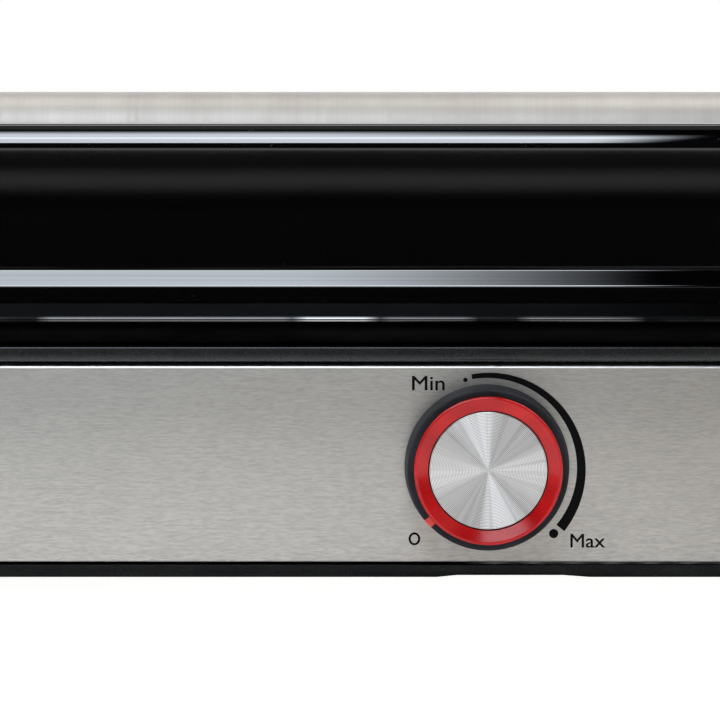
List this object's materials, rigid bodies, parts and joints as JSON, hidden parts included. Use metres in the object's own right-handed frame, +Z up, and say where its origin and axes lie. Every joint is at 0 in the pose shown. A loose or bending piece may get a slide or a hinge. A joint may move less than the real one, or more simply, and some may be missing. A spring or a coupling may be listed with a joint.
{
  "type": "hot dog roller grill",
  "caption": "Countertop sausage roller grill: stainless front with a turning heat knob, heated rollers driven by gears in an end tower, and a slide-out drip tray.",
  "frame": {"origin": "middle of the footprint, on the counter under the feet", "axes": "+X to the right seen from the front and along the rollers, +Y to the back, +Z up"},
  "size_m": [0.46, 0.2472, 0.15],
  "materials": {
    "stainless": "brushed along its length, satin",
    "roller_steel": "fine turned finish",
    "galvanised": "matt zinc",
    "black_enamel": "high gloss",
    "black_paint": "satin",
    "black_plastic": "fine texture",
    "knob_black": "satin",
    "red_plastic": "gloss",
    "spun_aluminium": "turned, fine concentric grooves",
    "rubber": "matt",
    "nylon": "natural",
    "acetal": "natural",
    "heater_steel": "dull",
    "ceramic": "unglazed",
    "phenolic": "moulded"
  },
  "bodies": {
    "cabinet": {"front_panel": "stainless", "rear_panel": "stainless", "left_inner_plate": "galvanised", "right_inner_plate": "galvanised", "left_heater_bracket": "galvanised", "right_heater_bracket": "galvanised", "motor_body": "galvanised", "idler_carrier": "galvanised", "thermostat_body": "galvanised", "thermostat_nut": "galvanised", "front_rail": "black_enamel", "rear_rail": "black_enamel", "base_pan": "black_paint", "deck": "black_paint", "left_end_cover": "black_plastic", "right_end_cover": "black_plastic", "power_inlet": "black_plastic", "foot_front_left": "rubber", "foot_front_right": "rubber", "foot_rear_left": "rubber", "foot_rear_right": "rubber", "bush_left_1": "nylon", "bush_left_2": "nylon", "bush_left_3": "nylon", "bush_left_4": "nylon", "bush_left_5": "nylon", "bush_right_1": "nylon", "bush_right_2": "nylon", "bush_right_3": "nylon", "bush_right_4": "nylon", "bush_right_5": "nylon", "heater_1": "heater_steel", "heater_2": "heater_steel", "heater_3": "heater_steel", "heater_4": "heater_steel", "heater_5": "heater_steel", "thermal_cutout": "ceramic", "terminal_block": "phenolic"},
    "knob": {"knob_skirt": "knob_black", "knob_ring": "red_plastic", "knob_cap": "spun_aluminium", "thermostat_shaft": "heater_steel"},
    "tray": {"drip_tray": "black_enamel"},
    "roller_1": {"roller_1": "roller_steel", "roller_gear_1": "acetal"},
    "roller_2": {"roller_2": "roller_steel", "roller_gear_2": "acetal"},
    "roller_3": {"roller_3": "roller_steel", "roller_gear_3": "acetal"},
    "roller_4": {"roller_4": "roller_steel", "roller_gear_4": "acetal"},
    "roller_5": {"roller_5": "roller_steel", "roller_gear_5": "acetal"},
    "idler_1": {"idler_gear_1": "acetal"},
    "idler_2": {"idler_gear_2": "acetal"},
    "idler_3": {"idler_gear_3": "acetal"},
    "idler_4": {"idler_gear_4": "acetal"},
    "pinion": {"motor_pinion": "acetal"}
  },
  "joints": [
    {"name": "knob_turn", "type": "hinge", "parent": "cabinet", "child": "knob", "pos_m": [0, -0.10885, 0.032], "axis": [0, 1, 0], "range_deg": [0, 267]},
    {"name": "tray_slide", "type": "slide", "parent": "cabinet", "child": "tray", "axis": [0, -1, 0], "range_m": [0, 0.2]},
    {"name": "roller_1_turn", "type": "hinge", "parent": "cabinet", "child": "roller_1", "pos_m": [0, -0.06535, 0.113], "axis": [1, 0, 0], "continuous": true},
    {"name": "roller_2_turn", "type": "hinge", "parent": "cabinet", "child": "roller_2", "pos_m": [0, -0.02935, 0.113], "axis": [1, 0, 0], "continuous": true},
    {"name": "roller_3_turn", "type": "hinge", "parent": "cabinet", "child": "roller_3", "pos_m": [0, 0.00665, 0.113], "axis": [1, 0, 0], "continuous": true},
    {"name": "roller_4_turn", "type": "hinge", "parent": "cabinet", "child": "roller_4", "pos_m": [0, 0.04265, 0.113], "axis": [1, 0, 0], "continuous": true},
    {"name": "roller_5_turn", "type": "hinge", "parent": "cabinet", "child": "roller_5", "pos_m": [0, 0.07865, 0.113], "axis": [1, 0, 0], "continuous": true},
    {"name": "idler_1_turn", "type": "hinge", "parent": "cabinet", "child": "idler_1", "pos_m": [0.2085, -0.04735, 0.09389], "axis": [1, 0, 0], "continuous": true},
    {"name": "idler_2_turn", "type": "hinge", "parent": "cabinet", "child": "idler_2", "pos_m": [0.2085, -0.01135, 0.09389], "axis": [1, 0, 0], "continuous": true},
    {"name": "idler_3_turn", "type": "hinge", "parent": "cabinet", "child": "idler_3", "pos_m": [0.2085, 0.02465, 0.09389], "axis": [1, 0, 0], "continuous": true},
    {"name": "idler_4_turn", "type": "hinge", "parent": "cabinet", "child": "idler_4", "pos_m": [0.2085, 0.06065, 0.09389], "axis": [1, 0, 0], "continuous": true},
    {"name": "pinion_turn", "type": "hinge", "parent": "cabinet", "child": "pinion", "pos_m": [0.2085, -0.01135, 0.07639], "axis": [1, 0, 0], "continuous": true}
  ],
  "couplings": [
    {"joint": "roller_2_turn", "follows": "roller_1_turn", "ratio": 1},
    {"joint": "roller_3_turn", "follows": "roller_1_turn", "ratio": 1},
    {"joint": "roller_4_turn", "follows": "roller_1_turn", "ratio": 1},
    {"joint": "roller_5_turn", "follows": "roller_1_turn", "ratio": 1},
    {"joint": "idler_1_turn", "follows": "roller_1_turn", "ratio": -1.625},
    {"joint": "idler_2_turn", "follows": "roller_1_turn", "ratio": -1.625},
    {"joint": "idler_3_turn", "follows": "roller_1_turn", "ratio": -1.625},
    {"joint": "idler_4_turn", "follows": "roller_1_turn", "ratio": -1.625},
    {"joint": "pinion_turn", "follows": "roller_1_turn", "ratio": 2.1667}
  ]
}
